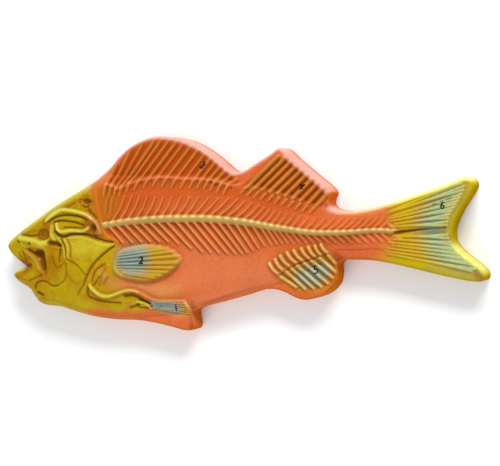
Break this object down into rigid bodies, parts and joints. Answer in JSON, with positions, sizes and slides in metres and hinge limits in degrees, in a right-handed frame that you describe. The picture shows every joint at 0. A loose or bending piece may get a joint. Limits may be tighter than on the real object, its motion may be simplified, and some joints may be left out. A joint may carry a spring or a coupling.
{
  "type": "fish skeleton relief model",
  "caption": "Moulded, hand-painted relief teaching model of a bony fish's skeleton on its side, with raised skull, backbone, ribs and fin rays, and a flat back.",
  "frame": {"origin": "middle of the flat back, below the centre of the outline", "axes": "+X towards the tail, +Y towards the dorsal fins, +Z out of the relief face"},
  "size_m": [0.48, 0.1852, 0.0383],
  "materials": {
    "body_paint": "satin salmon-orange paint over a moulded plastic body, darker in the grooves",
    "head_paint": "satin ochre-yellow paint with a brown wash in the grooves",
    "bone_paint": "khaki and cream brushed over the raised bones",
    "fin_paint": "blue-grey airbrushed over the fin rays, with yellow and orange margins",
    "number_ink": "small black painted key numbers"
  },
  "bodies": {
    "root": {"cranium": "head_paint", "upper_jaw": "head_paint", "lower_jaw": "head_paint", "cheek": "head_paint", "gill_cover": "head_paint", "throat": "head_paint", "shoulder_girdle": "head_paint", "pelvic_girdle": "body_paint", "backbone": "bone_paint", "trunk_back": "body_paint", "trunk_belly": "body_paint", "tail_stalk": "body_paint", "spiny_dorsal_fin": "body_paint", "soft_dorsal_fin": "body_paint", "tail_fin": "fin_paint", "anal_fin": "fin_paint", "pectoral_fin": "fin_paint", "pelvic_fin": "fin_paint"}
  },
  "joints": []
}
